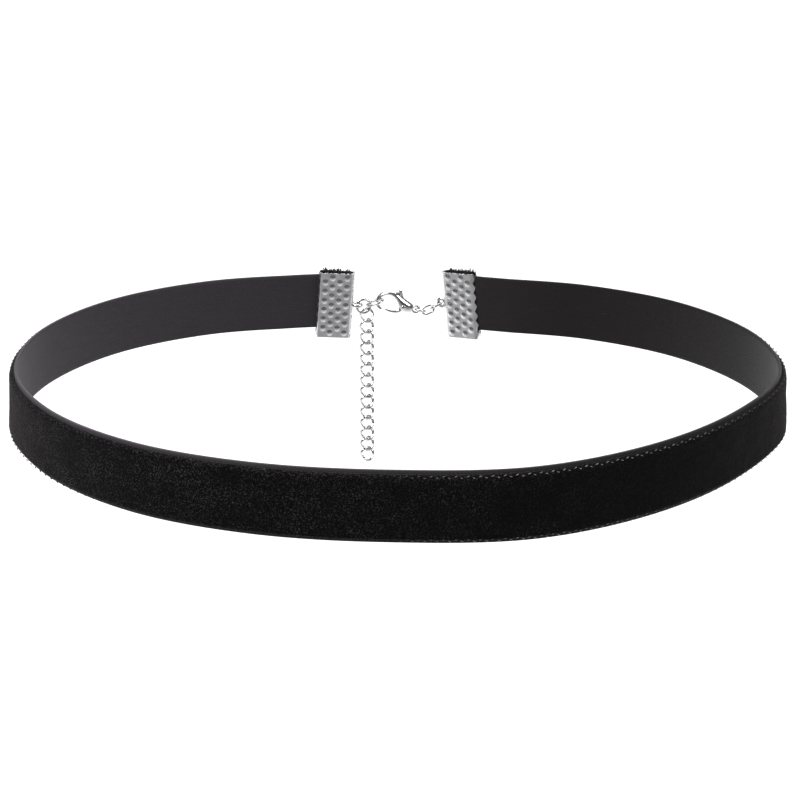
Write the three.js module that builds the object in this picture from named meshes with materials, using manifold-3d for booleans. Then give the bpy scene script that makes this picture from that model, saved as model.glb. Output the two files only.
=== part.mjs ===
// Choker necklace: a velvet ribbon with crimped ends, a lobster claw and an extender chain.
// Millimetres, +Z up. -Y is the front of the throat and +Y the nape, where the clasp is. The
// origin is the middle of the neck opening at the ribbon's mid height.
import * as THREE from 'three';
import { mergeVertices } from 'three/addons/utils/BufferGeometryUtils.js';
import Module from 'manifold-3d';

const wasm = await Module();
wasm.setup();

// ---- Driving dimensions -------------------------------------------------------------------------
const RIBBON_WIDTH = 10;
const RIBBON_THICKNESS = 1.2;
const CRIMPED_THICKNESS = 0.9; // the pile is flattened between the crimp's plates
const CRIMPED_LENGTH = 9.5; // how far from each end the ribbon is flattened
const RIBBON_END_GAP = 0.65; // from the end of the ribbon to the crimp's fold
const RIBBON_LEAN_DEG = 4; // the top edge leans in towards the neck
const LEAN_RADIUS = 50; // mean radius of the loop, over which the lean is measured
const RIBBON_STEPS = 96;

const CRIMP_LENGTH = 6.4; // along the ribbon
const CRIMP_HEIGHT = 12.2;
const CRIMP_THICKNESS = 2.1;
const CRIMP_SHEET = 0.4; // wall of each plate
const CRIMP_SPINE = 0.5; // wall of the fold
const TOOTH_COUNT = 7;
const TOOTH_DEPTH = 0.55;
const CRIMP_EYE_RADIUS = 0.72; // middle of the eye's wire
const CRIMP_EYE_WIRE = 0.3;
const CRIMP_EYE_OFFSET = 0.7; // from the fold to the middle of the eye
const CRIMP_TILT_DEG = -4; // in its own plane, foot away from the clasp

const LINK_WIRE = 0.25; // radius of the wire
const SMALL_WIRE = 0.2;
const RING_SIDES = 8;
const RING_STEPS = 24;

const CHAIN_WIDTH = 2.8;
const CHAIN_DEPTH = 1.3;
const CHAIN_STEPS = 12;

const CLAW_EYE_RADIUS = 0.85;
const CLAW_EYE_HOLE = 0.45;
const CLAW_DEPTH = 4; // deeper than the claw is thick, so that its side outline trims it
const SLOT_THICKNESS = 1.2; // slot between the cheeks
const LEVER_THICKNESS = 0.8;
const HUB_RADIUS = 0.65;
const PIN_RADIUS = 0.28;
const PIN_HOLE_RADIUS = 0.4;
const PIN_LENGTH = 1.9;
const CLAW_RISE_DEG = 13; // the hook end stands higher than the eye

const DEG = Math.PI / 180;

// ---- Tables -------------------------------------------------------------------------------------
// Middle of each crimp, the turn from +X to the side where its ribbon comes out, its lean, and how
// far its eye is turned from lying flat.
const CRIMPS = {
  crimp_right: { x: 10.9, y: 49.1, z: -0.8, turn: -28, lean: RIBBON_LEAN_DEG, eyeTurn: 90 },
  crimp_left: { x: -11.5, y: 49.3, z: -0.8, turn: 186, lean: -RIBBON_LEAN_DEG, eyeTurn: 0 },
};

// Middle line of the ribbon seen from above, from the right crimp round the front to the left one.
const RIBBON_ROUTE = [
  { x: 32.5, y: 42.5 },
  { x: 47.5, y: 32.5 },
  { x: 57, y: 16.5 },
  { x: 57.5, y: -1.5 },
  { x: 48, y: -17.5 },
  { x: 34, y: -30 },
  { x: 17.5, y: -37.5 },
  { x: -1, y: -38.5 },
  { x: -19.5, y: -36 },
  { x: -36.5, y: -29 },
  { x: -50.5, y: -16.5 },
  { x: -58.5, y: 0 },
  { x: -58, y: 18.5 },
  { x: -49, y: 34.5 },
  { x: -33.5, y: 45 },
];

// Rings and links: middle, the way each one is long, the normal of its plane, and half its length
// and width along the middle of its wire.
const LINKS = [
  { name: 'jump_ring', at: [-6.49, 50.07, -1.47], along: [0.93, 0.24, -0.28],
    normal: [0.24, -0.97, -0.01], long: 1.25, wide: 1.25, wire: LINK_WIRE },
  { name: 'catch_link', at: [-4.47, 50.3, -0.84], along: [0.91, -0.27, 0.31],
    normal: [-0.32, 0.01, 0.95], long: 1.5, wide: 1.1, wire: LINK_WIRE },
  { name: 'extender_link', at: [-6, 50.18, -3.18], along: [-0.01, -0.09, 1],
    normal: [0.67, 0.74, 0.07], long: 1.35, wide: 1.1, wire: LINK_WIRE },
  { name: 'claw_ring', at: [3.63, 50.22, -2.27], along: [0.98, -0.07, -0.2],
    normal: [0.21, 0.19, 0.96], long: 0.9, wide: 0.9, wire: SMALL_WIRE },
  { name: 'claw_link_1', at: [5.04, 50.52, -2.3], along: [0.91, 0.25, 0.34],
    normal: [-0.26, 0.97, -0.03], long: 1.1, wide: 0.7, wire: SMALL_WIRE },
  { name: 'claw_link_2', at: [6.52, 51.01, -1.64], along: [0.83, 0.42, 0.36],
    normal: [-0.46, 0.17, 0.87], long: 1.1, wide: 0.7, wire: SMALL_WIRE },
];

// Route of the hanging chain, from its top link to its last one.
const CHAIN_ROUTE = [
  { x: -6.07, y: 50.2, z: -5.05 },
  { x: -6.1, y: 50, z: -15 },
  { x: -6.1, y: 49.6, z: -25 },
  { x: -6.1, y: 49.2, z: -31.3 },
];

// The claw lies in a plane of its own: a runs from its eye towards the hook, b up to its back.
const CLAW_EYE = { x: 2.81, y: 50.2, z: -2.07 };
const CLAW_PIN = { a: 2.3, b: 0.1 };
const CLAW_BACK = [
  { a: 0.35, b: 0.75 },
  { a: 1.2, b: 1.0 },
  { a: 2.3, b: 1.55 },
  { a: 3.4, b: 2.2 },
  { a: 4.7, b: 2.5 },
  { a: 6.0, b: 2.2 },
  { a: 7.0, b: 1.4 },
  { a: 7.45, b: 0.2 },
  { a: 7.2, b: -0.8 },
  { a: 6.7, b: -1.35 },
  { a: 5.95, b: -1.62 },
];
const CLAW_MOUTH = [
  { a: 5.8, b: -1.22 },
  { a: 6.35, b: -0.85 },
  { a: 6.6, b: -0.2 },
  { a: 6.6, b: 0.4 },
  { a: 6.2, b: 1.15 },
  { a: 5.5, b: 1.55 },
  { a: 4.7, b: 1.65 },
  { a: 4.1, b: 1.35 },
  { a: 3.4, b: 0.3 },
  { a: 2.75, b: -0.75 },
];
const CLAW_BELLY = [
  { a: 2.3, b: -1.15 },
  { a: 1.2, b: -0.98 },
  { a: 0.3, b: -0.75 },
];
const CLAW_HALF_THICKNESS = [
  { a: -1, half: 0.3 },
  { a: 0.6, half: 0.35 },
  { a: 1.5, half: 1.1 },
  { a: 3.9, half: 1.1 },
  { a: 5.2, half: 0.65 },
  { a: 8, half: 0.6 },
];
const SLOT_OUTLINE = [
  { a: 1.45, b: -2 },
  { a: 5.2, b: -2 },
  { a: 5.2, b: 1.4 },
  { a: 3.95, b: 1.5 },
  { a: 3.95, b: 3 },
  { a: 1.7, b: 3 },
  { a: 1.7, b: 1.1 },
  { a: 1.45, b: 0.8 },
];
const GATE_OUTLINE = [
  { a: 1.95, b: -0.5 },
  { a: 2.6, b: -1.4 },
  { a: 4.3, b: -1.62 },
  { a: 5.4, b: -1.38 },
  { a: 5.6, b: -1.08 },
  { a: 5.4, b: -0.9 },
  { a: 4.3, b: -1.08 },
  { a: 3.2, b: -0.75 },
  { a: 2.85, b: -0.1 },
];
const NUB_OUTLINE = [
  { a: 2.7, b: 0 },
  { a: 3.75, b: 2.35 },
  { a: 3.75, b: 2.8 },
  { a: 3.15, b: 3.0 },
  { a: 3.0, b: 2.6 },
  { a: 1.95, b: 0.5 },
];

// ---- Finishes -----------------------------------------------------------------------------------
const velvet = () => new THREE.MeshStandardMaterial({ color: 0x0b0b0d, roughness: 0.95 });
const silver = () => new THREE.MeshStandardMaterial({ color: 0xd6d7d9, roughness: 0.18, metalness: 1 });

// ---- Joining and cutting ------------------------------------------------------------------------
function solidOf(geometry) {
  const bare = geometry.clone();
  bare.deleteAttribute('normal');
  bare.deleteAttribute('uv');
  const merged = mergeVertices(bare, 1e-5);
  return new wasm.Manifold(new wasm.Mesh({
    numProp: 3,
    vertProperties: new Float32Array(merged.attributes.position.array),
    triVerts: new Uint32Array(merged.index.array),
  }));
}

function geometryOf(solid) {
  const mesh = solid.getMesh();
  const geometry = new THREE.BufferGeometry();
  geometry.setAttribute('position', new THREE.BufferAttribute(mesh.vertProperties, 3));
  geometry.setIndex(new THREE.BufferAttribute(mesh.triVerts, 1));
  geometry.computeVertexNormals();
  return geometry;
}

// A flat outline given thickness evenly to both sides of its plane.
function plate(outline, thickness) {
  const geometry = new THREE.ExtrudeGeometry(outline, { depth: thickness, bevelEnabled: false });
  return geometry.translate(0, 0, -thickness / 2);
}

function outlineOf(rows) {
  return new THREE.Shape(rows.map(({ a, b }) => new THREE.Vector2(a, b)));
}

function clawCylinder(radius, depth, { a, b }) {
  return new THREE.CylinderGeometry(radius, radius, depth, 20).rotateX(90 * DEG).translate(a, b, 0);
}

// ---- Ribbon -------------------------------------------------------------------------------------
// A point on a crimp's middle plane, so far from its middle towards the side of the ribbon.
function crimpPoint({ x, y, turn }, distance) {
  return { x: x + distance * Math.cos(turn * DEG), y: y + distance * Math.sin(turn * DEG) };
}

function ribbonCurve() {
  const inside = CRIMP_SPINE + RIBBON_END_GAP - CRIMP_LENGTH / 2;
  const mouth = CRIMP_LENGTH / 2;
  const { crimp_right: right, crimp_left: left } = CRIMPS;
  const stations = [
    crimpPoint(right, inside),
    crimpPoint(right, mouth),
    ...RIBBON_ROUTE,
    crimpPoint(left, mouth),
    crimpPoint(left, inside),
  ];
  const curve = new THREE.CatmullRomCurve3(stations.map(({ x, y }) => new THREE.Vector3(x, y, 0)));
  curve.arcLengthDivisions = 1000;
  return curve;
}

function ribbonGeometry() {
  const curve = ribbonCurve();
  const length = curve.getLength();
  const outside = [];
  const inside = [];
  for (let step = 0; step <= RIBBON_STEPS; step += 1) {
    const along = step / RIBBON_STEPS;
    const toEnd = Math.min(along, 1 - along) * length;
    const half = (toEnd < CRIMPED_LENGTH ? CRIMPED_THICKNESS : RIBBON_THICKNESS) / 2;
    const middle = curve.getPointAt(along);
    const tangent = curve.getTangentAt(along);
    const outward = new THREE.Vector2(-tangent.y, tangent.x).multiplyScalar(half);
    outside.push(new THREE.Vector2(middle.x, middle.y).add(outward));
    inside.push(new THREE.Vector2(middle.x, middle.y).sub(outward));
  }
  const geometry = plate(new THREE.Shape([...outside, ...inside.reverse()]), RIBBON_WIDTH);
  const position = geometry.attributes.position;
  for (let index = 0; index < position.count; index += 1) {
    const z = position.getZ(index);
    const lean = 1 - (Math.tan(RIBBON_LEAN_DEG * DEG) * z) / LEAN_RADIUS;
    position.setXY(index, position.getX(index) * lean, position.getY(index) * lean);
  }
  return geometry;
}

// ---- Crimp --------------------------------------------------------------------------------------
// Two plates joined by a fold, +X towards the ribbon, toothed there, with a wire eye at the fold.
function crimpGeometry(eyeTurn) {
  const end = CRIMP_LENGTH / 2;
  const top = CRIMP_HEIGHT / 2;
  const pitch = CRIMP_HEIGHT / TOOTH_COUNT;
  const edge = [new THREE.Vector2(-end, -top), new THREE.Vector2(end - TOOTH_DEPTH, -top)];
  for (let tooth = 0; tooth < TOOTH_COUNT; tooth += 1) {
    edge.push(new THREE.Vector2(end, -top + (tooth + 0.5) * pitch));
    edge.push(new THREE.Vector2(end - TOOTH_DEPTH, -top + (tooth + 1) * pitch));
  }
  edge.push(new THREE.Vector2(-end, top));
  const block = plate(new THREE.Shape(edge), CRIMP_THICKNESS).rotateX(90 * DEG);
  const gap = new THREE.BoxGeometry(CRIMP_LENGTH, CRIMP_THICKNESS - 2 * CRIMP_SHEET, CRIMP_HEIGHT + 1);
  gap.translate(CRIMP_SPINE, 0, 0);
  const eye = new THREE.TorusGeometry(CRIMP_EYE_RADIUS, CRIMP_EYE_WIRE, RING_SIDES, RING_STEPS);
  eye.rotateX(eyeTurn * DEG).translate(-end - CRIMP_EYE_OFFSET, 0, 0);
  return geometryOf(solidOf(block).subtract(solidOf(gap)).add(solidOf(eye)));
}

function crimp(name) {
  const { x, y, z, turn, lean, eyeTurn } = CRIMPS[name];
  const mesh = new THREE.Mesh(crimpGeometry(eyeTurn), silver());
  mesh.name = name;
  mesh.position.set(x, y, z);
  mesh.rotation.set(lean * DEG, CRIMP_TILT_DEG * DEG, turn * DEG, 'ZYX');
  return mesh;
}

// ---- Rings, links and chain ---------------------------------------------------------------------
// A wire ring, drawn out along X by moving its two halves apart.
function link({ name, at, along, normal, long, wide, wire }) {
  const geometry = new THREE.TorusGeometry(wide, wire, RING_SIDES, RING_STEPS);
  const position = geometry.attributes.position;
  for (let index = 0; index < position.count; index += 1) {
    const x = position.getX(index);
    const side = Math.abs(x) < 1e-6 ? 0 : Math.sign(x);
    position.setX(index, x + side * (long - wide));
  }
  const mesh = new THREE.Mesh(geometry, silver());
  mesh.name = name;
  const up = new THREE.Vector3(...normal).normalize();
  const front = new THREE.Vector3(...along);
  front.addScaledVector(up, -front.dot(up)).normalize();
  const side = new THREE.Vector3().crossVectors(up, front);
  mesh.position.set(...at);
  mesh.quaternion.setFromRotationMatrix(new THREE.Matrix4().makeBasis(front, side, up));
  return mesh;
}

// The outer form of the curb links, as one eight-sided tube down the chain's route.
function extenderChain() {
  const half = CHAIN_WIDTH / 2;
  const depth = CHAIN_DEPTH / 2;
  const section = new THREE.Shape();
  for (let side = 0; side < 8; side += 1) {
    const angle = (side + 0.5) * 45 * DEG;
    const point = [half * Math.cos(angle), depth * Math.sin(angle)];
    if (side === 0) section.moveTo(...point);
    else section.lineTo(...point);
  }
  const route = new THREE.CatmullRomCurve3(CHAIN_ROUTE.map(({ x, y, z }) => new THREE.Vector3(x, y, z)));
  const geometry = new THREE.ExtrudeGeometry(section, { steps: CHAIN_STEPS, extrudePath: route });
  const mesh = new THREE.Mesh(geometry, silver());
  mesh.name = 'extender_chain';
  return mesh;
}

// ---- Lobster claw -------------------------------------------------------------------------------
function clawBodyGeometry() {
  const blade = new THREE.Shape();
  const points = (rows) => rows.map(({ a, b }) => new THREE.Vector2(a, b));
  blade.moveTo(CLAW_BACK[0].a, CLAW_BACK[0].b);
  blade.splineThru(points(CLAW_BACK.slice(1)));
  blade.lineTo(CLAW_MOUTH[0].a, CLAW_MOUTH[0].b);
  blade.splineThru(points(CLAW_MOUTH.slice(1)));
  blade.splineThru(points(CLAW_BELLY));
  const bladePoints = blade.getPoints(2);
  const side = [
    ...CLAW_HALF_THICKNESS.map(({ a, half }) => new THREE.Vector2(a, half)),
    ...CLAW_HALF_THICKNESS.map(({ a, half }) => new THREE.Vector2(a, -half)).reverse(),
  ];
  const sideBlock = plate(new THREE.Shape(side.reverse()), 2 * CLAW_DEPTH).rotateX(90 * DEG);
  const eyeAt = { a: 0, b: 0 };
  return geometryOf(
    solidOf(plate(new THREE.Shape(bladePoints), CLAW_DEPTH))
      .add(solidOf(clawCylinder(CLAW_EYE_RADIUS, CLAW_DEPTH, eyeAt)))
      .intersect(solidOf(sideBlock))
      .subtract(solidOf(clawCylinder(CLAW_EYE_HOLE, CLAW_DEPTH, eyeAt)))
      .subtract(solidOf(plate(outlineOf(SLOT_OUTLINE), SLOT_THICKNESS)))
      .add(solidOf(clawCylinder(PIN_RADIUS, PIN_LENGTH, CLAW_PIN))),
  );
}

function clawLeverGeometry() {
  return geometryOf(
    solidOf(plate(outlineOf(GATE_OUTLINE), LEVER_THICKNESS))
      .add(solidOf(plate(outlineOf(NUB_OUTLINE), LEVER_THICKNESS)))
      .add(solidOf(clawCylinder(HUB_RADIUS, LEVER_THICKNESS, CLAW_PIN)))
      .subtract(solidOf(clawCylinder(PIN_HOLE_RADIUS, CLAW_DEPTH, CLAW_PIN))),
  );
}

function claw() {
  const group = new THREE.Group();
  for (const [name, geometry] of [
    ['claw_body', clawBodyGeometry()],
    ['claw_lever', clawLeverGeometry()],
  ]) {
    const mesh = new THREE.Mesh(geometry, silver());
    mesh.name = name;
    group.add(mesh);
  }
  const cos = Math.cos(CLAW_RISE_DEG * DEG);
  const sin = Math.sin(CLAW_RISE_DEG * DEG);
  const towardsHook = new THREE.Vector3(-cos, 0, sin);
  const towardsBack = new THREE.Vector3(sin, 0, cos);
  const outward = new THREE.Vector3(0, 1, 0);
  const basis = new THREE.Matrix4().makeBasis(towardsHook, towardsBack, outward);
  group.quaternion.setFromRotationMatrix(basis);
  group.position.set(CLAW_EYE.x, CLAW_EYE.y, CLAW_EYE.z);
  return group;
}

// ---- Assembly -----------------------------------------------------------------------------------
const choker = new THREE.Group();
const ribbon = new THREE.Mesh(ribbonGeometry(), velvet());
ribbon.name = 'velvet_ribbon';
choker.add(ribbon, crimp('crimp_right'), crimp('crimp_left'), ...LINKS.map(link));
choker.add(extenderChain(), claw());

export default choker;
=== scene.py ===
import bisect
import math

import bmesh
import bpy
from bpy.props import (
    FloatProperty, FloatVectorProperty, IntProperty, PointerProperty,
)
from mathutils import Euler, Matrix, Vector, noise


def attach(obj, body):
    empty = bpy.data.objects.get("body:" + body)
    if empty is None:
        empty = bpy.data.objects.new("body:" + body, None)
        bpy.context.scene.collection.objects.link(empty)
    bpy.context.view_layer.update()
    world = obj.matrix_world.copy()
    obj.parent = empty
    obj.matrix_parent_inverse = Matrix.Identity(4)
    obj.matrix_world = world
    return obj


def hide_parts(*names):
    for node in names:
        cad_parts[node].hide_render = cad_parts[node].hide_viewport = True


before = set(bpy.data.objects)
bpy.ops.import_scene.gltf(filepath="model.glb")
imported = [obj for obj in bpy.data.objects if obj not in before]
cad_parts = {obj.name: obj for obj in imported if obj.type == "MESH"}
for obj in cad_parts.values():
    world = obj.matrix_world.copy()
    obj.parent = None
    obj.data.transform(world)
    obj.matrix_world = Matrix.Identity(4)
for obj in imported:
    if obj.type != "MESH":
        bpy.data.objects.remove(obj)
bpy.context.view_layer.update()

bl_info = {
    "name": "Velvet choker necklace",
    "version": (1, 0, 0),
    "blender": (4, 5, 0),
    "location": "View3D > Sidebar > Choker",
    "description": "Builds the velvet ribbon, crimps, claw and extender links of a choker",
    "category": "Object",
}

MM = 0.001

# ---- Route of the ribbon, in millimetres ---------------------------------------------------------
RIBBON_THICKNESS = 1.2
CRIMPED_THICKNESS = 0.9
CRIMPED_LENGTH = 9.5
LEAN_DEG = 4
LEAN_RADIUS = 50
END_INSIDE = -2.05  # along the crimp, from its middle to the end of the ribbon
CRIMP_MOUTH = 3.2

CRIMPS = {
    "crimp_right": {"at": (10.9, 49.1, -0.8), "turn": -28, "lean": 4, "eye_turn": 90},
    "crimp_left": {"at": (-11.5, 49.3, -0.8), "turn": 186, "lean": -4, "eye_turn": 0},
}
CRIMP_TILT = -4

RIBBON_ROUTE = [
    (32.5, 42.5), (47.5, 32.5), (57, 16.5), (57.5, -1.5), (48, -17.5),
    (34, -30), (17.5, -37.5), (-1, -38.5), (-19.5, -36), (-36.5, -29),
    (-50.5, -16.5), (-58.5, 0), (-58, 18.5), (-49, 34.5), (-33.5, 45),
]

# Rings: middle, long way, normal, half length, half width, wire radius, cut in degrees.
RINGS = {
    "jump_ring": ((-6.49, 50.07, -1.47), (0.93, 0.24, -0.28), (0.24, -0.97, -0.01), 1.25, 1.25, 0.25, 5),
    "catch_link": ((-4.47, 50.3, -0.84), (0.91, -0.27, 0.31), (-0.32, 0.01, 0.95), 1.5, 1.1, 0.25, 0),
    "claw_ring": ((3.63, 50.22, -2.27), (0.98, -0.07, -0.2), (0.21, 0.19, 0.96), 0.9, 0.9, 0.2, 6),
    "claw_link_1": ((5.04, 50.52, -2.3), (0.91, 0.25, 0.34), (-0.26, 0.97, -0.03), 1.1, 0.7, 0.2, 0),
    "claw_link_2": ((6.52, 51.01, -1.64), (0.83, 0.42, 0.36), (-0.46, 0.17, 0.87), 1.1, 0.7, 0.2, 0),
}
HANGING_LINKS = {
    "first": (-6.0, 50.18, -3.2),
    "last": (-6.1, 49.2, -29.8),
    "count": 14,
    "half_length": 1.28,
    "half_width": 1.14,
    "wire": 0.25,
    "twist": 42,
}

# Claw sections: outer edge (a, b), inner edge (a, b), half thickness. a runs from the eye to the hook.
CLAW_EYE = (2.81, 50.2, -2.07)
CLAW_RISE = 13
CLAW_SECTIONS = [
    ((0.45, 0.55), (0.4, -0.55), 0.36),
    ((0.8, 0.8), (0.75, -0.8), 0.55),
    ((1.3, 1.05), (1.3, -1.0), 0.9),
    ((2.3, 1.55), (2.2, -1.15), 1.08),
    ((3.2, 2.1), (2.95, -0.55), 1.1),
    ((3.9, 2.4), (3.65, 0.75), 1.02),
    ((4.7, 2.5), (4.65, 1.6), 0.86),
    ((5.7, 2.3), (5.4, 1.55), 0.72),
    ((6.6, 1.8), (6.1, 1.2), 0.64),
    ((7.25, 0.95), (6.55, 0.55), 0.6),
    ((7.43, 0.0), (6.62, -0.1), 0.58),
    ((7.2, -0.85), (6.5, -0.65), 0.54),
    ((6.7, -1.35), (6.2, -1.0), 0.48),
    ((5.97, -1.6), (5.82, -1.24), 0.34),
]
CLAW_SLOT = {"a": (1.6, 5.1), "b": (-3.0, 1.35), "thickness": 1.2}
NUB_SLOT = {"a": (1.75, 4.0), "b": (0.5, 4.0), "thickness": 1.2}
CLAW_PIN = (2.3, 0.1)
GATE_SECTIONS = [
    ((2.15, 0.45), (2.75, 0.5), 0.4),
    ((1.85, 0.0), (2.85, -0.05), 0.4),
    ((2.0, -0.6), (2.95, -0.5), 0.4),
    ((2.6, -1.35), (3.25, -0.8), 0.4),
    ((3.5, -1.6), (3.7, -1.0), 0.38),
    ((4.4, -1.66), (4.4, -1.1), 0.36),
    ((5.2, -1.48), (5.1, -1.0), 0.34),
    ((5.58, -1.15), (5.4, -0.95), 0.22),
]
NUB_SECTIONS = [
    ((1.75, 0.3), (2.8, -0.1), 0.38),
    ((2.2, 1.1), (3.1, 0.7), 0.4),
    ((2.75, 2.0), (3.6, 1.75), 0.42),
    ((2.95, 2.55), (3.78, 2.4), 0.46),
    ((3.05, 2.92), (3.78, 2.82), 0.44),
    ((3.25, 3.04), (3.6, 3.0), 0.26),
]


# ---- Settings ------------------------------------------------------------------------------------
class ChokerRibbonSettings(bpy.types.PropertyGroup):
    width: FloatProperty(
        name="Width", description="Width of the ribbon", default=0.010, unit="LENGTH")
    selvedge: FloatProperty(
        name="Selvedge", description="Bare woven edge beside the pile", default=0.00045, unit="LENGTH")
    ground: FloatProperty(
        name="Ground", description="Thickness of the woven ground", default=0.00045, unit="LENGTH")
    stitch_pitch: FloatProperty(
        name="Stitch pitch", description="Distance between edge stitches", default=0.0008, unit="LENGTH")
    relief: FloatProperty(
        name="Pile relief", description="Height of the unevenness of the pile",
        default=0.00006, unit="LENGTH")
    pile_color: FloatVectorProperty(
        name="Pile colour", description="Colour of the velvet pile", subtype="COLOR",
        default=(0.0016, 0.0016, 0.0018), min=0, max=1)
    # Painted highlight: this colour paints the light that the fibre ends catch into the pile's base colour.
    painted_glint_color: FloatVectorProperty(
        name="Glint colour", description="Colour of the fibre ends that catch the light",
        subtype="COLOR", default=(0.085, 0.082, 0.085), min=0, max=1)
    # Painted light: this is the lighter colour of the woven back on the left; the ground darkens from it to
    # painted shade on the right.
    back_color_lit_left: FloatVectorProperty(
        name="Back colour", description="Colour of the woven back", subtype="COLOR",
        default=(0.085, 0.074, 0.088), min=0, max=1)


class ChokerHardwareSettings(bpy.types.PropertyGroup):
    boss_height: FloatProperty(
        name="Boss height", description="Height of the bosses on the crimps",
        default=0.00019, unit="LENGTH")
    boss_radius: FloatProperty(
        name="Boss radius", description="Radius of the bosses on the crimps",
        default=0.0005, unit="LENGTH")
    teeth: IntProperty(
        name="Teeth", description="Teeth on each edge of a crimp", default=7, min=1)
    metal_color: FloatVectorProperty(
        name="Metal colour", description="Colour of the plating", subtype="COLOR",
        default=(0.74, 0.74, 0.75), min=0, max=1)
    dull_color: FloatVectorProperty(
        name="Worn colour", description="Colour of the plating where it is handled",
        subtype="COLOR", default=(0.46, 0.455, 0.45), min=0, max=1)


class ChokerStageSettings(bpy.types.PropertyGroup):
    floor_drop: FloatProperty(
        name="Floor drop", description="Height of the choker above the floor",
        default=0.16, unit="LENGTH")
    light_energy: FloatProperty(
        name="Light", description="Power of the key light", default=9.0, unit="POWER")
    floor_color: FloatVectorProperty(
        name="Floor colour", description="Colour of the floor", subtype="COLOR",
        default=(0.93, 0.93, 0.93), min=0, max=1)


# ---- Routes --------------------------------------------------------------------------------------
def smoothstep(low, high, value):
    t = min(max((value - low) / (high - low), 0.0), 1.0)
    return t * t * (3 - 2 * t)


def crimp_point(crimp, distance):
    turn = math.radians(crimp["turn"])
    return Vector((crimp["at"][0] + distance * math.cos(turn), crimp["at"][1] + distance * math.sin(turn)))


def centripetal_line(stations, per_span=50):
    """Points of a centripetal Catmull-Rom curve through the stations."""
    ends = [2 * stations[0] - stations[1]] + stations + [2 * stations[-1] - stations[-2]]
    line = []
    for i in range(1, len(ends) - 2):
        p0, p1, p2, p3 = ends[i - 1:i + 3]
        d0, d1, d2 = (math.sqrt((q - p).length) for p, q in ((p0, p1), (p1, p2), (p2, p3)))
        t1 = ((p1 - p0) / d0 - (p2 - p0) / (d0 + d1) + (p2 - p1) / d1) * d1
        t2 = ((p2 - p1) / d1 - (p3 - p1) / (d1 + d2) + (p3 - p2) / d2) * d1
        for k in range(per_span):
            t = k / per_span
            line.append(
                (2 * t ** 3 - 3 * t ** 2 + 1) * p1 + (t ** 3 - 2 * t ** 2 + t) * t1
                + (3 * t ** 2 - 2 * t ** 3) * p2 + (t ** 3 - t ** 2) * t2)
    line.append(stations[-1].copy())
    return line


class RibbonPath:
    """The middle line of the ribbon, read by the distance from its right end."""

    def __init__(self):
        right, left = CRIMPS["crimp_right"], CRIMPS["crimp_left"]
        stations = [crimp_point(right, END_INSIDE), crimp_point(right, CRIMP_MOUTH)]
        stations += [Vector(p) for p in RIBBON_ROUTE]
        stations += [crimp_point(left, CRIMP_MOUTH), crimp_point(left, END_INSIDE)]
        self.line = centripetal_line(stations)
        self.run = [0.0]
        for p, q in zip(self.line, self.line[1:]):
            self.run.append(self.run[-1] + (q - p).length)
        self.length = self.run[-1]

    def middle(self, distance):
        i = min(max(bisect.bisect_right(self.run, distance), 1), len(self.run) - 1)
        t = (distance - self.run[i - 1]) / (self.run[i] - self.run[i - 1])
        return self.line[i - 1].lerp(self.line[i], t)

    def bend(self, along, across, outward):
        """A point of the flat ribbon, laid on the loop. All in millimetres."""
        step = 0.4
        ahead, behind = self.middle(min(along + step, self.length)), self.middle(max(along - step, 0))
        tangent = (ahead - behind).normalized()
        spot = self.middle(along) + Vector((-tangent.y, tangent.x)) * outward
        spot = spot * (1 - math.tan(math.radians(LEAN_DEG)) * across / LEAN_RADIUS)
        return Vector((spot.x, spot.y, across))

    def half_thickness(self, along):
        to_end = min(along, self.length - along)
        mix = smoothstep(CRIMPED_LENGTH - 1.5, CRIMPED_LENGTH + 2.5, to_end)
        return (CRIMPED_THICKNESS + (RIBBON_THICKNESS - CRIMPED_THICKNESS) * mix) / 2


PATH = RibbonPath()


# ---- Pieces --------------------------------------------------------------------------------------
def finish_piece(bm, name, materials, body, smooth=True):
    """Turns a bmesh in millimetres into a piece at the origin that rides on a body."""
    bmesh.ops.scale(bm, vec=(MM, MM, MM), verts=bm.verts)
    mesh = bpy.data.meshes.new(name)
    bm.to_mesh(mesh)
    bm.free()
    for polygon in mesh.polygons:
        polygon.use_smooth = smooth
    for material in materials:
        mesh.materials.append(material)
    piece = bpy.data.objects.new(name, mesh)
    bpy.context.scene.collection.objects.link(piece)
    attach(piece, body)
    return piece


def flat_strip(bm, length, width, along_cells, across_cells):
    """A flat strip in XY with its UV map, from x = 0 to length."""
    bm.loops.layers.uv.new("UVMap")
    bmesh.ops.create_grid(
        bm, x_segments=along_cells, y_segments=across_cells, size=0.5, calc_uvs=True,
        matrix=Matrix.Translation((length / 2, 0, 0)) @ Matrix.Diagonal((length, width, 1, 1)))


def give_depth(bm, depth):
    """Makes a flat strip a closed slab that reaches depth below it."""
    back = bmesh.ops.extrude_face_region(bm, geom=bm.faces[:], use_keep_orig=True)
    verts = [v for v in back["geom"] if isinstance(v, bmesh.types.BMVert)]
    bmesh.ops.translate(bm, vec=(0, 0, -depth), verts=verts)
    bmesh.ops.recalc_face_normals(bm, faces=bm.faces)


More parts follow.
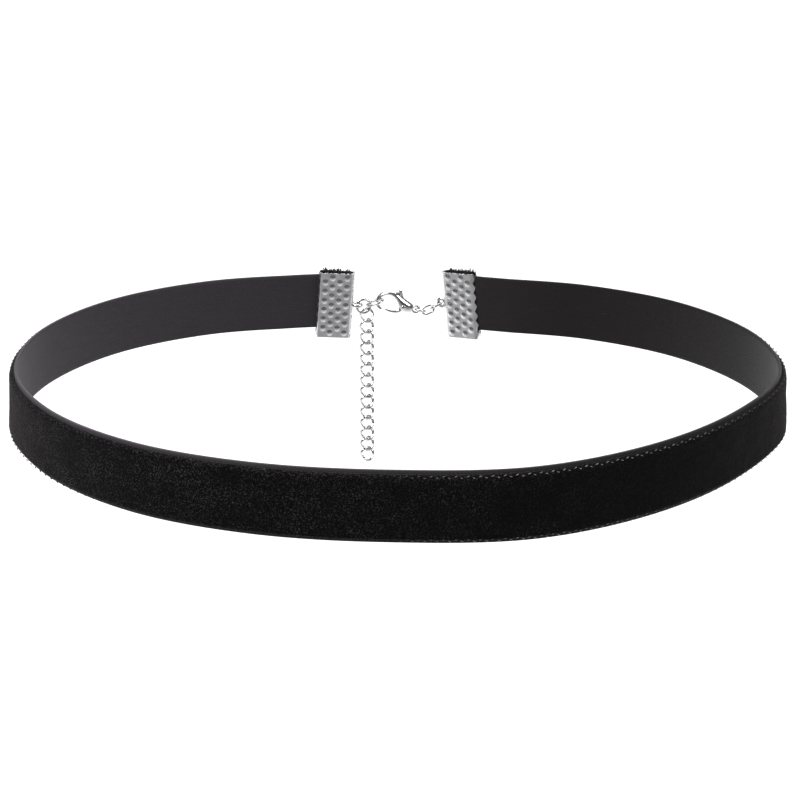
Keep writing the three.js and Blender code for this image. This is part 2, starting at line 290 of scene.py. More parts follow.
def wire_ring(bm, long, wide, wire, place, cut=0.0, sides=12, steps=36, twist=0.0):
    """A wire ring drawn out along X, or twisted about X as a curb link."""
    section = bmesh.ops.create_circle(
        bm, segments=sides, radius=wire,
        matrix=Matrix.Rotation(math.radians(90 + cut / 2), 4, "Z")
        @ Matrix.Translation((wide, 0, 0)) @ Matrix.Rotation(math.radians(90), 4, "X"))
    ring = section["verts"][:]
    edges = list({e for v in ring for e in v.link_edges})
    before = set(bm.verts) - set(ring)
    bmesh.ops.spin(
        bm, geom=ring + edges, cent=(0, 0, 0), axis=(0, 0, 1),
        angle=math.radians(360 - cut), steps=steps, use_merge=cut == 0, use_duplicate=False)
    verts = [v for v in bm.verts if v not in before]
    if cut:
        open_edges = [e for e in bm.edges if e.is_boundary]
        bmesh.ops.holes_fill(bm, edges=open_edges, sides=sides)
    for v in verts:
        side = 0 if abs(v.co.x) < 1e-5 else math.copysign(1, v.co.x)
        v.co.x += side * (long - wide)
        angle = math.radians(twist) * math.sin(v.co.x / long * math.pi / 2)
        v.co.yz = (
            v.co.y * math.cos(angle) - v.co.z * math.sin(angle),
            v.co.y * math.sin(angle) + v.co.z * math.cos(angle))
    bmesh.ops.recalc_face_normals(bm, faces=list({f for v in verts for f in v.link_faces}))
    bmesh.ops.transform(bm, matrix=place, verts=verts)


def place_from(at, along, normal):
    """A matrix whose X is along, whose Z is the normal and whose origin is at."""
    up = Vector(normal).normalized()
    front = Vector(along)
    front = (front - up * front.dot(up)).normalized()
    side = up.cross(front)
    turn = Matrix((front, side, up)).transposed().to_4x4()
    return Matrix.Translation(at) @ turn


def swept_form(bm, sections, sides=12, squareness=0.0):
    """A rounded form through sections that lie between an outer and an inner edge point."""
    loops = []
    for (oa, ob), (ia, ib), half in sections:
        outer, inner = Vector((oa, ob, 0)), Vector((ia, ib, 0))
        across = outer - inner
        reach = across.length / 2
        place = Matrix((across.normalized(), Vector((0, 0, 1)), Vector((0, 0, 1)).cross(across.normalized())))
        place = Matrix.Translation((outer + inner) / 2) @ place.transposed().to_4x4()
        place = place @ Matrix.Diagonal((reach, half, 1, 1))
        ring = bmesh.ops.create_circle(bm, segments=sides, radius=1, matrix=place)["verts"]
        loops.append([e for e in {e for v in ring for e in v.link_edges}])
    for first, second in zip(loops, loops[1:]):
        bmesh.ops.bridge_loops(bm, edges=first + second)
    bmesh.ops.holes_fill(bm, edges=loops[0] + loops[-1], sides=sides)
    bmesh.ops.recalc_face_normals(bm, faces=bm.faces)


# ---- Materials -----------------------------------------------------------------------------------
def new_group(name, inputs, outputs):
    group = bpy.data.node_groups.new(name, "ShaderNodeTree")
    for label, kind, value in inputs:
        socket = group.interface.new_socket(label, in_out="INPUT", socket_type="NodeSocket" + kind)
        if value is not None:
            socket.default_value = value
    for label, kind in outputs:
        group.interface.new_socket(label, in_out="OUTPUT", socket_type="NodeSocket" + kind)
    return group, group.nodes.new("NodeGroupInput"), group.nodes.new("NodeGroupOutput")


def node(tree, kind, links=None, **settings):
    """A node with its settings, and its inputs linked or set by name or number."""
    made = tree.nodes.new(kind)
    for key, value in settings.items():
        setattr(made, key, value)
    for key, value in (links or {}).items():
        if isinstance(value, bpy.types.NodeSocket):
            tree.links.new(value, made.inputs[key])
        else:
            made.inputs[key].default_value = value
    return made


def ramp(tree, value, stops):
    made = node(tree, "ShaderNodeValToRGB", {0: value})
    elements = made.color_ramp.elements
    while len(elements) < len(stops):
        elements.new(0.5)
    for element, (position, shade) in zip(elements, stops):
        element.position = position
        element.color = (shade, shade, shade, 1)
    return made.outputs[0]


def painted_fibre_glints():
    """Painted highlights of fibre ends that catch the light, scattered over the pile, as a mask."""
    group, given, out = new_group(
        "painted_fibre_glints", [("Vector", "Vector", None), ("Scale", "Float", 5000.0), ("Share", "Float", 0.5)],
        [("Mask", "Float"), ("Height", "Float")])
    fine = node(group, "ShaderNodeTexNoise", {
        "Vector": given.outputs[0], "Scale": given.outputs[1], "Detail": 2.0, "Roughness": 0.6})
    patch_scale = node(group, "ShaderNodeMath", {0: given.outputs[1], 1: 0.05}, operation="MULTIPLY")
    patches = node(group, "ShaderNodeTexNoise", {
        "Vector": given.outputs[0], "Scale": patch_scale.outputs[0], "Detail": 2.0})
    spots = ramp(group, fine.outputs["Fac"], [(0.52, 0.0), (0.72, 1.0)])
    area = ramp(group, patches.outputs["Fac"], [(0.3, 0.25), (0.7, 1.0)])
    mask = node(group, "ShaderNodeMath", {0: spots, 1: area}, operation="MULTIPLY")
    share = node(group, "ShaderNodeMath", {0: mask.outputs[0], 1: given.outputs[2]}, operation="MULTIPLY")
    group.links.new(share.outputs[0], out.inputs[0])
    group.links.new(fine.outputs["Fac"], out.inputs[1])
    return group


def weave_with_painted_shade():
    """Crossing threads of a plain weave, as a height and a colour mask of painted shade in the hollows
    between threads.
    """
    group, given, out = new_group(
        "weave_with_painted_shade", [("Vector", "Vector", None), ("Warps", "Float", 40.0), ("Wefts", "Float", 1200.0)],
        [("Height", "Float"), ("Mask", "Float")])
    split = node(group, "ShaderNodeSeparateXYZ", {0: given.outputs[0]})
    waves = []
    for axis, count in ((0, 2), (1, 1)):
        turns = node(group, "ShaderNodeMath", {0: split.outputs[axis], 1: given.outputs[count]},
                     operation="MULTIPLY")
        angle = node(group, "ShaderNodeMath", {0: turns.outputs[0], 1: math.tau}, operation="MULTIPLY")
        waves.append(node(group, "ShaderNodeMath", {0: angle.outputs[0]}, operation="SINE").outputs[0])
    cross = node(group, "ShaderNodeMath", {0: waves[0], 1: waves[1]}, operation="MULTIPLY")
    height = node(group, "ShaderNodeMath", {0: cross.outputs[0], 1: 0.5, 2: 0.5}, operation="MULTIPLY_ADD")
    wear = node(group, "ShaderNodeTexNoise", {"Vector": given.outputs[0], "Scale": 60.0, "Detail": 3.0})
    # Painted shade: the mask is low in the hollows between threads, where the colour is darkened, and noise
    # varies it at random.
    mask = node(group, "ShaderNodeMath", {0: height.outputs[0], 1: wear.outputs["Fac"]},
                operation="MULTIPLY")
    group.links.new(height.outputs[0], out.inputs[0])
    group.links.new(mask.outputs[0], out.inputs[1])
    return group


def plating_wear():
    """Handling marks and fine scratches of bright plating."""
    group, given, out = new_group(
        "plating_wear", [("Vector", "Vector", None), ("Scale", "Float", 300.0)],
        [("Dullness", "Float"), ("Height", "Float")])
    marks = node(group, "ShaderNodeTexNoise", {
        "Vector": given.outputs[0], "Scale": given.outputs[1], "Detail": 4.0, "Roughness": 0.6})
    fine_scale = node(group, "ShaderNodeMath", {0: given.outputs[1], 1: 9.0}, operation="MULTIPLY")
    fine = node(group, "ShaderNodeTexNoise", {
        "Vector": given.outputs[0], "Scale": fine_scale.outputs[0], "Detail": 3.0})
    dull = ramp(group, marks.outputs["Fac"], [(0.42, 0.0), (0.72, 1.0)])
    group.links.new(dull, out.inputs[0])
    group.links.new(fine.outputs["Fac"], out.inputs[1])
    return group


def shared_group(name, make):
    return bpy.data.node_groups.get(name) or make()


def new_material(name, **shader):
    made = bpy.data.materials.new(name)
    made.use_nodes = True
    principled = made.node_tree.nodes["Principled BSDF"]
    for key, value in shader.items():
        principled.inputs[key.replace("_", " ")].default_value = value
    return made, made.node_tree, principled


def blend_color(tree, factor, first, second):
    made = node(tree, "ShaderNodeMix", data_type="RGBA")
    for socket, value in zip((made.inputs[0], made.inputs[6], made.inputs[7]), (factor, first, second)):
        if isinstance(value, bpy.types.NodeSocket):
            tree.links.new(value, socket)
        else:
            socket.default_value = (*value, 1) if hasattr(value, "__len__") else value
    return made.outputs[2]


def place_ramp(tree, axis, low, high):
    """0 to 1 across the object along one axis, in metres."""
    coordinates = node(tree, "ShaderNodeTexCoord")
    split = node(tree, "ShaderNodeSeparateXYZ", {0: coordinates.outputs["Object"]})
    spread = node(tree, "ShaderNodeMapRange", {0: split.outputs[axis], 1: low, 2: high})
    return spread.outputs[0]


def pile_material(settings):
    made, tree, shader = new_material(
        "velvet_pile", Roughness=0.95, Sheen_Weight=0.16, Sheen_Roughness=0.35, Specular_IOR_Level=0.12)
    shader.inputs["Sheen Tint"].default_value = (0.5, 0.44, 0.42, 1)
    coordinates = node(tree, "ShaderNodeTexCoord")
    painted_glints = node(tree, "ShaderNodeGroup", node_tree=shared_group("painted_fibre_glints", painted_fibre_glints))
    tree.links.new(coordinates.outputs["Object"], painted_glints.inputs["Vector"])
    painted_glints.inputs["Scale"].default_value = 5000
    painted_glints.inputs["Share"].default_value = 1.0
    # Painted light: the painted glints are strongest on the left of the throat and fade towards the right, so
    # the left of the pile reads lighter.
    side = place_ramp(tree, 0, -0.012, 0.03)
    painted_light_falloff = ramp(tree, side, [(0.0, 1.0), (1.0, 0.22)])
    mask = node(tree, "ShaderNodeMath", {0: painted_glints.outputs["Mask"], 1: painted_light_falloff}, operation="MULTIPLY")
    # Painted highlight: the base colour is lightened to the glint colour where the mask is high.
    color = blend_color(tree, mask.outputs[0], settings.pile_color, settings.painted_glint_color)
    tree.links.new(color, shader.inputs["Base Color"])
    bump = node(tree, "ShaderNodeBump", {
        "Strength": 0.7, "Distance": 0.0002, "Height": painted_glints.outputs["Height"]})
    tree.links.new(bump.outputs[0], shader.inputs["Normal"])
    return made


def ground_material(settings):
    """The woven ground, which shows inside the loop and along both edges."""
    made, tree, shader = new_material(
        "woven_ground", Roughness=0.8, Sheen_Weight=0.12, Sheen_Roughness=0.5, Specular_IOR_Level=0.2)
    coordinates = node(tree, "ShaderNodeTexCoord")
    weave = node(tree, "ShaderNodeGroup", node_tree=shared_group("weave_with_painted_shade", weave_with_painted_shade))
    tree.links.new(coordinates.outputs["UV"], weave.inputs["Vector"])
    weave.inputs["Warps"].default_value = 22
    weave.inputs["Wefts"].default_value = 620
    # Painted light and shade: the woven back is lighter on the left and darkens to a painted-shade
    # brown-black on the right.
    side = place_ramp(tree, 0, -0.045, 0.03)
    painted_side_light = blend_color(tree, side, settings.back_color_lit_left, (0.019, 0.0155, 0.0155))
    # Painted shade: a darker copy of the back colour, put in the hollows between threads by the weave's mask.
    painted_weave_shade = blend_color(tree, 0.55, painted_side_light, (0.0, 0.0, 0.0))
    tree.links.new(blend_color(tree, weave.outputs["Mask"], painted_weave_shade, painted_side_light), shader.inputs["Base Color"])
    bump = node(tree, "ShaderNodeBump", {
        "Strength": 0.5, "Distance": 0.0001, "Height": weave.outputs["Height"]})
    tree.links.new(bump.outputs[0], shader.inputs["Normal"])
    return made


def thread_material(settings, name, color, bright):
    """Twisted edge thread, with painted highlight specks that make it brighter towards the front and on one
    side of the throat.
    """
    made, tree, shader = new_material(name, Roughness=0.7, Sheen_Weight=0.1, Specular_IOR_Level=0.3)
    coordinates = node(tree, "ShaderNodeTexCoord")
    twist = node(tree, "ShaderNodeTexNoise", {
        "Vector": coordinates.outputs["Object"], "Scale": 2600.0, "Detail": 3.0})
    # Painted highlight: specks of the bright colour where the lit ramp along X and the front ramp along Y are
    # both high.
    middle = place_ramp(tree, 0, -0.002, 0.05)
    lit = ramp(tree, middle, [(0.0, 0.0), (0.25, 0.8), (0.45, 1.0), (1.0, 0.15)])
    front = place_ramp(tree, 1, 0.0, -0.02)
    painted_highlight_area = node(tree, "ShaderNodeMath", {0: lit, 1: front}, operation="MULTIPLY")
    painted_highlight_specks = node(tree, "ShaderNodeMath", {0: painted_highlight_area.outputs[0], 1: twist.outputs["Fac"]},
                 operation="MULTIPLY")
    tree.links.new(blend_color(tree, painted_highlight_specks.outputs[0], color, bright), shader.inputs["Base Color"])
    bump = node(tree, "ShaderNodeBump", {
        "Strength": 0.4, "Distance": 0.00005, "Height": twist.outputs["Fac"]})
    tree.links.new(bump.outputs[0], shader.inputs["Normal"])
    return made


def metal_material(settings, name, scale, low, high, depth):
    """Bright plating with duller handling marks."""
    made, tree, shader = new_material(name, Metallic=1.0)
    coordinates = node(tree, "ShaderNodeTexCoord")
    wear = node(tree, "ShaderNodeGroup", node_tree=shared_group("plating_wear", plating_wear))
    tree.links.new(coordinates.outputs["Object"], wear.inputs["Vector"])
    wear.inputs["Scale"].default_value = scale
    dull = node(tree, "ShaderNodeMath", {0: wear.outputs["Dullness"], 1: 0.55}, operation="MULTIPLY")
    color = blend_color(tree, dull.outputs[0], settings.metal_color, settings.dull_color)
    tree.links.new(color, shader.inputs["Base Color"])
    rough = node(tree, "ShaderNodeMapRange", {0: wear.outputs["Dullness"], 3: low, 4: high})
    tree.links.new(rough.outputs[0], shader.inputs["Roughness"])
    bump = node(tree, "ShaderNodeBump", {
        "Strength": 0.25, "Distance": depth, "Height": wear.outputs["Height"]})
    tree.links.new(bump.outputs[0], shader.inputs["Normal"])
    return made


def shared_material(name, make, *values):
    return bpy.data.materials.get(name) or make(*values)


# ---- Operators -----------------------------------------------------------------------------------
class CHOKER_OT_camera(bpy.types.Operator):
    """Set the camera in front of the throat, a little above the ribbon"""
    bl_idname = "choker.camera"
    bl_label = "Camera"

    def execute(self, context):
        data = bpy.data.cameras.new("camera")
        data.lens = 76.5
        data.sensor_width = 36
        data.clip_start = 0.01
        camera = bpy.data.objects.new("camera", data)
        context.scene.collection.objects.link(camera)
        camera.location = (0, -0.2394, 0.0932)
        camera.rotation_euler = (-camera.location).to_track_quat("-Z", "Y").to_euler()
        context.scene.camera = camera
        return {"FINISHED"}


class CHOKER_OT_ribbon(bpy.types.Operator):
    """Weave the ribbon's ground and lay the velvet pile on it"""
    bl_idname = "choker.ribbon"
    bl_label = "Velvet ribbon"

    def execute(self, context):
        settings = context.scene.choker_ribbon
        width = settings.width / MM
        ground = settings.ground / MM
        bm = bmesh.new()
        flat_strip(bm, PATH.length, width, 620, 20)
        give_depth(bm, ground)
        for v in bm.verts:
            half = PATH.half_thickness(v.co.x)
            v.co = PATH.bend(v.co.x, v.co.y, v.co.z - half + ground)
        bmesh.ops.recalc_face_normals(bm, faces=bm.faces)
        base = finish_piece(
            bm, "ribbon_ground", [shared_material("woven_ground", ground_material, settings)],
            "choker")

        pile_width = width - 2 * settings.selvedge / MM
        relief = settings.relief / MM
        bm = bmesh.new()
        flat_strip(bm, PATH.length, pile_width, 760, 26)
        give_depth(bm, 0.2)
        for v in bm.verts:
            half = PATH.half_thickness(v.co.x)
            edge = max(abs(v.co.y) - (pile_width / 2 - 0.5), 0) / 0.5
            if v.co.z < -0.1:
                height = -half + ground - 0.03
            else:
                height = half - 0.4 * edge ** 2 - 0.02
                if min(v.co.x, PATH.length - v.co.x) > CRIMPED_LENGTH - 2:
                    rough = noise.noise(Vector((v.co.x * 1.7, v.co.y * 1.7, 0)))
                    soft = noise.noise(Vector((v.co.x * 0.25, v.co.y * 0.4, 7)))
                    height += relief * (rough + soft - 0.6)
            ragged = 0.05 * noise.noise(Vector((v.co.x * 2.3, 3 * math.copysign(1, v.co.y), 5)))
            across = v.co.y * (1 + ragged * edge / pile_width * 2)
            v.co = PATH.bend(v.co.x, across, height)
        bmesh.ops.recalc_face_normals(bm, faces=bm.faces)
        pile = finish_piece(
            bm, "ribbon_pile", [shared_material("velvet_pile", pile_material, settings)],
            "choker")
        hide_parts("velvet_ribbon")
        return {"FINISHED"}


class CHOKER_OT_edge_stitches(bpy.types.Operator):
    """Sew the small loops along both edges of the ribbon"""
    bl_idname = "choker.edge_stitches"
    bl_label = "Edge stitches"

    def execute(self, context):
        settings = context.scene.choker_ribbon
        pitch = settings.stitch_pitch / MM
        half_width = settings.width / MM / 2
        start, end = 5.6, PATH.length - 5.6
        count = int((end - start) / pitch)
        rows = (
            ("edge_loops_top", 1, -0.03, 0.0, (0.4, 0.11, 0.16)),
            ("edge_loops_bottom", -1, -0.03, 0.0, (0.4, 0.11, 0.16)),
            ("edge_stitches_top", 1, -0.55, 0.42, (0.24, 0.075, 0.08)),
            ("edge_stitches_bottom", -1, -0.5, 0.42, (0.24, 0.075, 0.08)),
        )
        # The second colour of each thread is its painted highlight.
        loops = shared_material(
            "edge_loop_thread", thread_material, settings, "edge_loop_thread",
            (0.006, 0.0065, 0.013), (0.06, 0.05, 0.05))
        stitches = shared_material(
            "edge_stitch_thread", thread_material, settings, "edge_stitch_thread",
            (0.003, 0.003, 0.004), (0.42, 0.4, 0.4))
        for name, side, inward, above, size in rows:
            bm = bmesh.new()
            for k in range(count):
                along = start + (k + 0.5) * pitch
                zigzag = 0.12 * (1 if k % 2 else -1) if above else 0
                across = side * (half_width + inward - 0.08) + zigzag
                half = PATH.half_thickness(along)
                level = (half - 0.6 + above) if above else -half + settings.ground / MM / 2
                at = PATH.bend(along, across, level)
                ahead = PATH.bend(along + 0.4, across + (0.2 * zigzag if above else 0), level)
                out = PATH.bend(along, across, level + 1) - at
                place = place_from(at, ahead - at, out)
                if above:
                    place = place @ Matrix.Rotation(math.radians(28 if k % 2 else -28), 4, "Z")
                bmesh.ops.create_uvsphere(
                    bm, u_segments=7, v_segments=5, radius=1,
                    matrix=place @ Matrix.Diagonal((*size, 1)))
            finish_piece(bm, name, [stitches if above else loops], "choker")
        return {"FINISHED"}


def stud_height(x, z, radius):
    """Height of the rounded bosses, in staggered columns, as a share of one."""
    best = 0.0
    for column, stud_x in enumerate((-1.75, -0.45, 0.85, 2.1)):
        shift = 0.87 if column % 2 else 0.0
        near = round((z - shift) / 1.743) * 1.743 + shift
        if abs(near) > 5.6:
            continue
        spread = ((x - stud_x) ** 2 + (z - near) ** 2) / radius ** 2
        if spread < 1:
            best = max(best, (1 - spread) ** 0.7)
    return best


def crimp_sheet(bm, settings):
    """A folded, embossed and toothed plate, +X towards the ribbon."""
    height, sheet, fold_radius, straight, edge = 12.2, 0.34, 0.86, 5.79, 3.65
    fold = math.pi * fold_radius
    length = 2 * straight + fold
    teeth = settings.teeth
    bmesh.ops.create_grid(
        bm, x_segments=92, y_segments=84, size=0.5,
        matrix=Matrix.Translation((length / 2, 0, 0)) @ Matrix.Diagonal((length, height, 1, 1)))
    give_depth(bm, sheet)
    for v in bm.verts:
        u, z, level = v.co.x, v.co.y, v.co.z + sheet / 2
        to_mouth = min(u, length - u)
        x = edge - to_mouth
        boss = settings.boss_height / MM * stud_height(x, z, settings.boss_radius / MM)
        bite = 0.0
        if to_mouth < 0.95:
            saw = abs(((z / height + 0.5) * teeth) % 1 - 0.5) * 2
            past = 0.95 - to_mouth
            angle = min(past / 0.4, 0.95)
            beyond = max(past - 0.38, 0.0) * (1 - 0.95 * saw)
            x = edge - 0.95 + 0.4 * math.sin(angle) + beyond * math.cos(0.95)
            bite = 0.4 * (1 - math.cos(angle)) + beyond * math.sin(0.95)
        reach = fold_radius + level + boss - bite
        if to_mouth <= straight:
            v.co = (x, -reach if u < length / 2 else reach, z)
        else:
            angle = (u - straight) / fold_radius
            v.co = (edge - straight - reach * math.sin(angle), -reach * math.cos(angle), z)
    bmesh.ops.recalc_face_normals(bm, faces=bm.faces)


class CHOKER_OT_crimps(bpy.types.Operator):
    """Fold the two embossed crimps with their teeth and wire eyes"""
    bl_idname = "choker.crimps"
    bl_label = "Crimps"

    def execute(self, context):
        settings = context.scene.choker_hardware
        metal = shared_material(
            "crimp_plating", metal_material, settings, "crimp_plating", 420.0, 0.16, 0.34, 0.00006)
        for name, crimp in CRIMPS.items():
            bm = bmesh.new()
            crimp_sheet(bm, settings)
            eye = Matrix.Translation((-3.9, 0, 0)) @ Matrix.Rotation(math.radians(crimp["eye_turn"]), 4, "X")
            wire_ring(bm, 0.72, 0.72, 0.3, eye)
            turn = Euler([math.radians(a) for a in (crimp["lean"], CRIMP_TILT, crimp["turn"])], "XYZ")
            place = Matrix.Translation(crimp["at"]) @ turn.to_matrix().to_4x4()
            bmesh.ops.transform(bm, matrix=place, verts=bm.verts)
            piece = finish_piece(bm, name + "_plate", [metal], "choker")
            rounding = piece.modifiers.new("Rounded edges", "BEVEL")
            rounding.width = 0.00007
            rounding.segments = 2
            rounding.limit_method = "ANGLE"
            rounding.angle_limit = math.radians(55)
            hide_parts(name)
        return {"FINISHED"}


class CHOKER_OT_frayed_ends(bpy.types.Operator):
    """Leave short cut threads where the crimps hold the ribbon's ends"""
    bl_idname = "choker.frayed_ends"
    bl_label = "Frayed ends"

    def execute(self, context):
        settings = context.scene.choker_ribbon
        # The second colour of the thread is its painted highlight.
        thread = shared_material(
            "cut_thread", thread_material, settings, "cut_thread",
            (0.005, 0.005, 0.006), (0.02, 0.02, 0.02))
        for name, crimp in CRIMPS.items():
            turn = Euler([math.radians(a) for a in (crimp["lean"], CRIMP_TILT, crimp["turn"])], "XYZ")
            place = Matrix.Translation(crimp["at"]) @ turn.to_matrix().to_4x4()
            bm = bmesh.new()
            for k in range(210):
                dice = [noise.random() for _ in range(5)]
                end = 1 if k % 5 < 3 else -1
                x = -2.2 + 4.9 * dice[0]
                y = (dice[1] - 0.5) * 0.9
                base = end * (5.35 if end > 0 else 4.6)
                high = (0.65 + 0.6 * dice[2]) if end > 0 else (0.5 + 1.35 * dice[2])
                stem = bmesh.ops.create_circle(bm, cap_ends=True, segments=5, radius=0.06 + 0.05 * dice[3])
                face = stem["verts"][0].link_faces[0]
                for step in range(4):
                    grown = bmesh.ops.extrude_discrete_faces(bm, faces=[face])
                    face = grown["faces"][0]
                    bmesh.ops.translate(
                        bm, verts=face.verts,
                        vec=((dice[4] - 0.5) * 0.12 * step, (dice[1] - 0.5) * 0.14 * step, high / 4))
                tuft = bm.verts[:]
                fresh = [v for v in tuft if not v.tag]
                if end < 0:
                    bmesh.ops.rotate(bm, verts=fresh, cent=(0, 0, 0), matrix=Matrix.Rotation(math.pi, 3, "X"))
                bmesh.ops.translate(bm, verts=fresh, vec=(x, y, base))
                for v in fresh:
                    v.tag = True
            bmesh.ops.recalc_face_normals(bm, faces=bm.faces)
            bmesh.ops.transform(bm, matrix=place, verts=bm.verts)
            finish_piece(bm, "frayed_ends_" + name.split("_")[1], [thread], "choker")
        return {"FINISHED"}


class CHOKER_OT_rings(bpy.types.Operator):
    """Bend the jump ring, the catch link and the small rings of the claw"""
    bl_idname = "choker.rings"
    bl_label = "Rings and links"

    def execute(self, context):
        settings = context.scene.choker_hardware
        metal = shared_material(
            "wire_plating", metal_material, settings, "wire_plating", 700.0, 0.1, 0.22, 0.00002)
        for name, (at, along, normal, long, wide, wire, cut) in RINGS.items():
            bm = bmesh.new()
            wire_ring(bm, long, wide, wire, place_from(at, along, normal), cut=cut)
            piece = finish_piece(bm, name + "_wire", [metal], "choker")
            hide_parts(name)
        return {"FINISHED"}


class CHOKER_OT_extender(bpy.types.Operator):
    """Hang the curb links of the extender chain"""
    bl_idname = "choker.extender"
    bl_label = "Extender chain"

    def execute(self, context):
        settings = context.scene.choker_hardware
        metal = shared_material(
            "wire_plating", metal_material, settings, "wire_plating", 700.0, 0.1, 0.22, 0.00002)
        chain = HANGING_LINKS
        first, last = Vector(chain["first"]), Vector(chain["last"])
        for k in range(chain["count"]):
            share = k / (chain["count"] - 1)
            at = first.lerp(last, share)
            sway = math.radians(3.0 * math.sin(2.1 * k + 0.6))
            turn = math.radians(4.0 * math.sin(1.3 * k))
            bm = bmesh.new()
            place = place_from(at, (math.sin(sway), 0, -math.cos(sway)), (math.sin(turn), -math.cos(turn), 0))
            wire_ring(
                bm, chain["half_length"], chain["half_width"], chain["wire"], place,
                twist=chain["twist"])
            piece = finish_piece(bm, f"extender_link_{k + 1:02d}", [metal], "choker")
            if k == 0:
                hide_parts("extender_link")
            if k == 1:
                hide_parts("extender_chain")
        return {"FINISHED"}


def claw_place():
    rise = math.radians(CLAW_RISE)
    axes = (
        Vector((-math.cos(rise), 0, math.sin(rise))),
        Vector((math.sin(rise), 0, math.cos(rise))),
        Vector((0, 1, 0)))
    return Matrix.Translation(CLAW_EYE) @ Matrix(axes).transposed().to_4x4()


def block(bm, a, b, thickness):
    middle = ((a[0] + a[1]) / 2, (b[0] + b[1]) / 2, 0)
    size = (a[1] - a[0], b[1] - b[0], thickness, 1)
    bmesh.ops.create_cube(bm, size=1, matrix=Matrix.Translation(middle) @ Matrix.Diagonal(size))


def loose_object(bm, name):
    mesh = bpy.data.meshes.new(name)
    bm.to_mesh(mesh)
    bm.free()
    made = bpy.data.objects.new(name, mesh)
    bpy.context.scene.collection.objects.link(made)
    return made


class CHOKER_OT_claw_body(bpy.types.Operator):
    """Form the claw's body with its slot, its eye and the pin's heads"""
    bl_idname = "choker.claw_body"
    bl_label = "Claw body"

    def execute(self, context):
        settings = context.scene.choker_hardware
        bm = bmesh.new()
        swept_form(bm, CLAW_SECTIONS)
        solid = loose_object(bm, "claw_form")
        smooth = solid.modifiers.new("Smooth", "SUBSURF")
        smooth.levels = smooth.render_levels = 2
        cutters = []
        for slot in (CLAW_SLOT, NUB_SLOT):
            bm = bmesh.new()
            block(bm, slot["a"], slot["b"], slot["thickness"])
            cutters.append(loose_object(bm, "slot_cutter"))
            cut = solid.modifiers.new("Slot", "BOOLEAN")
            cut.operation = "DIFFERENCE"
            cut.solver = "EXACT"
            cut.object = cutters[-1]
        shaped = bpy.data.meshes.new_from_object(
            solid.evaluated_get(context.evaluated_depsgraph_get()))
        for extra in [solid, *cutters]:
            bpy.data.objects.remove(extra)
        bm = bmesh.new()
        bm.from_mesh(shaped)
        wire_ring(bm, 0.63, 0.63, 0.2, Matrix.Diagonal((1, 1, 1.35, 1)), steps=32)
        for side in (-1, 1):
            bmesh.ops.create_uvsphere(
                bm, u_segments=20, v_segments=10, radius=0.42,
                matrix=Matrix.Translation((*CLAW_PIN, side * 1.0)) @ Matrix.Diagonal((1, 1, 0.5, 1)))
        bmesh.ops.create_cone(
            bm, cap_ends=True, segments=20, radius1=0.28, radius2=0.28, depth=1.9,
            matrix=Matrix.Translation((*CLAW_PIN, 0)))
        bmesh.ops.transform(bm, matrix=claw_place(), verts=bm.verts)
        metal = shared_material(
            "claw_plating", metal_material, settings, "claw_plating", 500.0, 0.12, 0.24, 0.00003)
        piece = finish_piece(bm, "claw_body_cast", [metal], "choker")
        piece.data.set_sharp_from_angle(angle=math.radians(42))
        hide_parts("claw_body")
        return {"FINISHED"}


class CHOKER_OT_claw_lever(bpy.types.Operator):
    """Form the claw's lever: gate, hub and thumb nub"""
    bl_idname = "choker.claw_lever"
    bl_label = "Claw lever"

    def execute(self, context):
        settings = context.scene.choker_hardware
        parts = []
        for sections in (GATE_SECTIONS, NUB_SECTIONS):
            bm = bmesh.new()
            swept_form(bm, sections, sides=10)
            form = loose_object(bm, "lever_form")
            smooth = form.modifiers.new("Smooth", "SUBSURF")
            smooth.levels = smooth.render_levels = 2
            parts.append(form)
        depsgraph = context.evaluated_depsgraph_get()
        bm = bmesh.new()
        for form in parts:
            bm.from_mesh(bpy.data.meshes.new_from_object(form.evaluated_get(depsgraph)))
        for form in parts:
            bpy.data.objects.remove(form)
        hub = bmesh.ops.create_cone(
            bm, cap_ends=True, segments=28, radius1=0.62, radius2=0.62, depth=0.8,
            matrix=Matrix.Translation((*CLAW_PIN, 0)))
        rim = list({e for v in hub["verts"] for e in v.link_edges if len(e.link_faces) == 2
                    and e.calc_face_angle() > 1})
        bmesh.ops.bevel(
            bm, geom=rim, offset=0.08, offset_type="OFFSET", affect="EDGES", segments=2,
            profile=0.5, material=-1)
        bmesh.ops.transform(bm, matrix=claw_place(), verts=bm.verts)
        metal = shared_material(
            "claw_plating", metal_material, settings, "claw_plating", 500.0, 0.12, 0.24, 0.00003)
        piece = finish_piece(bm, "claw_lever_cast", [metal], "lever")
        piece.data.set_sharp_from_angle(angle=math.radians(42))
        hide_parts("claw_lever")
        return {"FINISHED"}


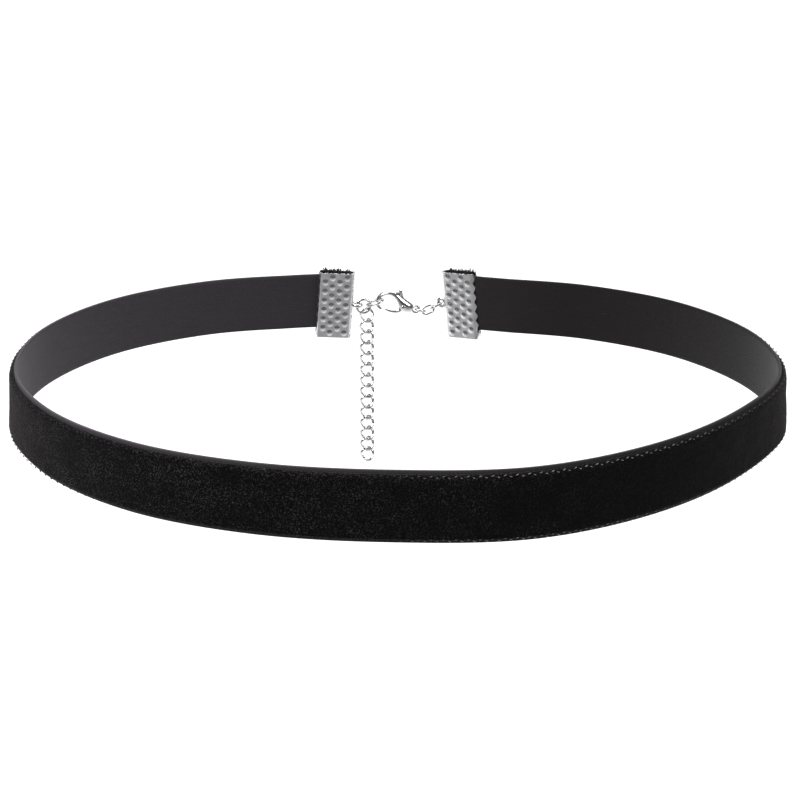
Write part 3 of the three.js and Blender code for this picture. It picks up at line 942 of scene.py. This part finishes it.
class CHOKER_OT_stage(bpy.types.Operator):
    """Lay the pale floor with its backdrop and hang the soft lights"""
    bl_idname = "choker.stage"
    bl_label = "Stage"

    def execute(self, context):
        settings = context.scene.choker_stage
        bm = bmesh.new()
        bmesh.ops.create_grid(bm, x_segments=1, y_segments=1, size=3)
        rear = [e for e in bm.edges if all(v.co.y > 2.9 for v in e.verts)]
        wall = bmesh.ops.extrude_edge_only(bm, edges=rear)
        risen = [v for v in wall["geom"] if isinstance(v, bmesh.types.BMVert)]
        bmesh.ops.translate(bm, verts=risen, vec=(0, 0, 3))
        bmesh.ops.bevel(
            bm, geom=rear, offset=1.2, offset_type="OFFSET", affect="EDGES", segments=16,
            profile=0.5, material=-1)
        bmesh.ops.translate(bm, verts=bm.verts, vec=(0, -0.6, -settings.floor_drop))
        bmesh.ops.recalc_face_normals(bm, faces=bm.faces)
        floor = loose_object(bm, "floor")
        for polygon in floor.data.polygons:
            polygon.use_smooth = True
        paper, tree, shader = new_material("floor_paper", Roughness=0.9, Specular_IOR_Level=0.1)
        grain = node(tree, "ShaderNodeTexNoise", {"Scale": 30.0, "Detail": 3.0})
        coordinates = node(tree, "ShaderNodeTexCoord")
        tree.links.new(coordinates.outputs["Object"], grain.inputs["Vector"])
        tone = node(tree, "ShaderNodeMath", {0: grain.outputs["Fac"], 1: 0.04}, operation="MULTIPLY")
        paper_color = blend_color(tree, tone.outputs[0], settings.floor_color, (0.8, 0.8, 0.8))
        color = blend_color(tree, place_ramp(tree, 1, -0.14, 0.1), (0.3, 0.3, 0.305), paper_color)
        tree.links.new(color, shader.inputs["Base Color"])
        floor.data.materials.append(paper)
        lamps = (
            ("key_light", (-0.55, -0.35, 0.8), 0.5, 1.0),
            ("fill_light", (0.75, -0.25, 0.5), 0.4, 0.4),
            ("rear_light", (0.0, 1.05, 1.1), 1.5, 2.6),
        )
        for name, at, size, share in lamps:
            data = bpy.data.lights.new(name, "AREA")
            data.size = size
            data.energy = settings.light_energy * share
            lamp = bpy.data.objects.new(name, data)
            lamp.location = at
            aim = Vector((0, 1.0, -0.2)) if name == "rear_light" else Vector((0, 0, 0))
            lamp.rotation_euler = (aim - lamp.location).to_track_quat("-Z", "Y").to_euler()
            context.scene.collection.objects.link(lamp)
        world = bpy.data.worlds.new("studio_air")
        world.use_nodes = True
        world.node_tree.nodes["Background"].inputs[0].default_value = (1, 1, 1, 1)
        world.node_tree.nodes["Background"].inputs[1].default_value = 0.16
        context.scene.world = world
        context.scene.view_settings.view_transform = "Standard"
        return {"FINISHED"}


class CHOKER_PT_panel(bpy.types.Panel):
    """The choker's pieces and their sizes"""
    bl_idname = "CHOKER_PT_panel"
    bl_label = "Choker"
    bl_space_type = "VIEW_3D"
    bl_region_type = "UI"
    bl_category = "Choker"

    def draw(self, context):
        for title, group in (
            ("Ribbon", context.scene.choker_ribbon),
            ("Hardware", context.scene.choker_hardware),
            ("Stage", context.scene.choker_stage),
        ):
            box = self.layout.box()
            box.label(text=title)
            for key in group.bl_rna.properties.keys():
                if key not in {"rna_type", "name"}:
                    box.prop(group, key)
        for step in STEPS:
            self.layout.operator(step.bl_idname)


SETTINGS = {
    "choker_ribbon": ChokerRibbonSettings,
    "choker_hardware": ChokerHardwareSettings,
    "choker_stage": ChokerStageSettings,
}
STEPS = (
    CHOKER_OT_camera, CHOKER_OT_ribbon, CHOKER_OT_edge_stitches, CHOKER_OT_crimps,
    CHOKER_OT_frayed_ends, CHOKER_OT_rings, CHOKER_OT_extender, CHOKER_OT_claw_body,
    CHOKER_OT_claw_lever, CHOKER_OT_stage,
)


def register():
    for made in (*SETTINGS.values(), *STEPS, CHOKER_PT_panel):
        bpy.utils.register_class(made)
    for name, kind in SETTINGS.items():
        setattr(bpy.types.Scene, name, PointerProperty(type=kind))


def unregister():
    for name in SETTINGS:
        delattr(bpy.types.Scene, name)
    for made in reversed((*SETTINGS.values(), *STEPS, CHOKER_PT_panel)):
        bpy.utils.unregister_class(made)


def main():
    register()
    noise.seed_set(11)
    bpy.ops.choker.camera()
    bpy.ops.choker.ribbon()
    bpy.ops.choker.edge_stitches()
    bpy.ops.choker.crimps()
    bpy.ops.choker.frayed_ends()
    bpy.ops.choker.rings()
    bpy.ops.choker.extender()
    bpy.ops.choker.claw_body()
    bpy.ops.choker.claw_lever()
    bpy.ops.choker.stage()


if __name__ == "__main__":
    main()
